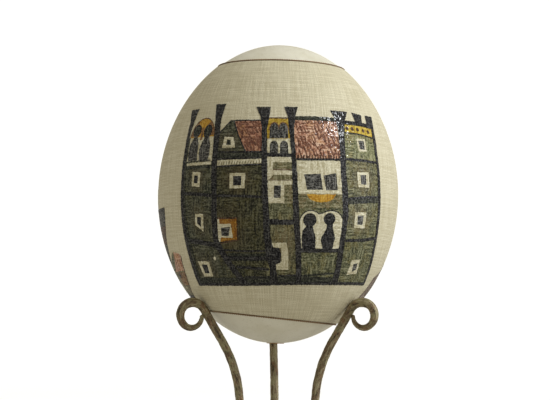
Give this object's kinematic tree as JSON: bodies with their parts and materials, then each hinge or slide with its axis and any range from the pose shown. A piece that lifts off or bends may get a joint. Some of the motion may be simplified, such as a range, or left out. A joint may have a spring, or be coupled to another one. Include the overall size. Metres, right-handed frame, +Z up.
{
  "type": "painted egg on stand",
  "caption": "Blown ostrich egg wrapped in linen painted with a row of old town houses, resting loose in a scrolled wrought-iron stand.",
  "frame": {"origin": "on the floor, straight below the middle of the stand's waist ring", "axes": "+Z up along the stand's axis, -Y towards the side of the egg with the main row of houses, +X to that side's right"},
  "size_m": [0.125, 0.125, 0.2367],
  "materials": {
    "eggshell": "natural ivory shell with fine pores and a low shine",
    "cork": "plain cork",
    "linen": "fine linen, glued on, painted and varnished",
    "thread": "twisted brown thread",
    "iron": "hand-forged rod with a brown rust patina under wax"
  },
  "bodies": {
    "stand": {"leg_left": "iron", "leg_right": "iron", "leg_back": "iron", "waist_ring": "iron", "weld_beads": "iron"},
    "egg": {"egg_shell": "eggshell", "hole_plug": "cork", "linen_cover": "linen", "top_cord": "thread", "bottom_cord": "thread"}
  },
  "joints": [
    {"name": "egg_lift", "type": "slide", "parent": "stand", "child": "egg", "axis": [0, 0, 1], "range_m": [0, 0.06]}
  ]
}
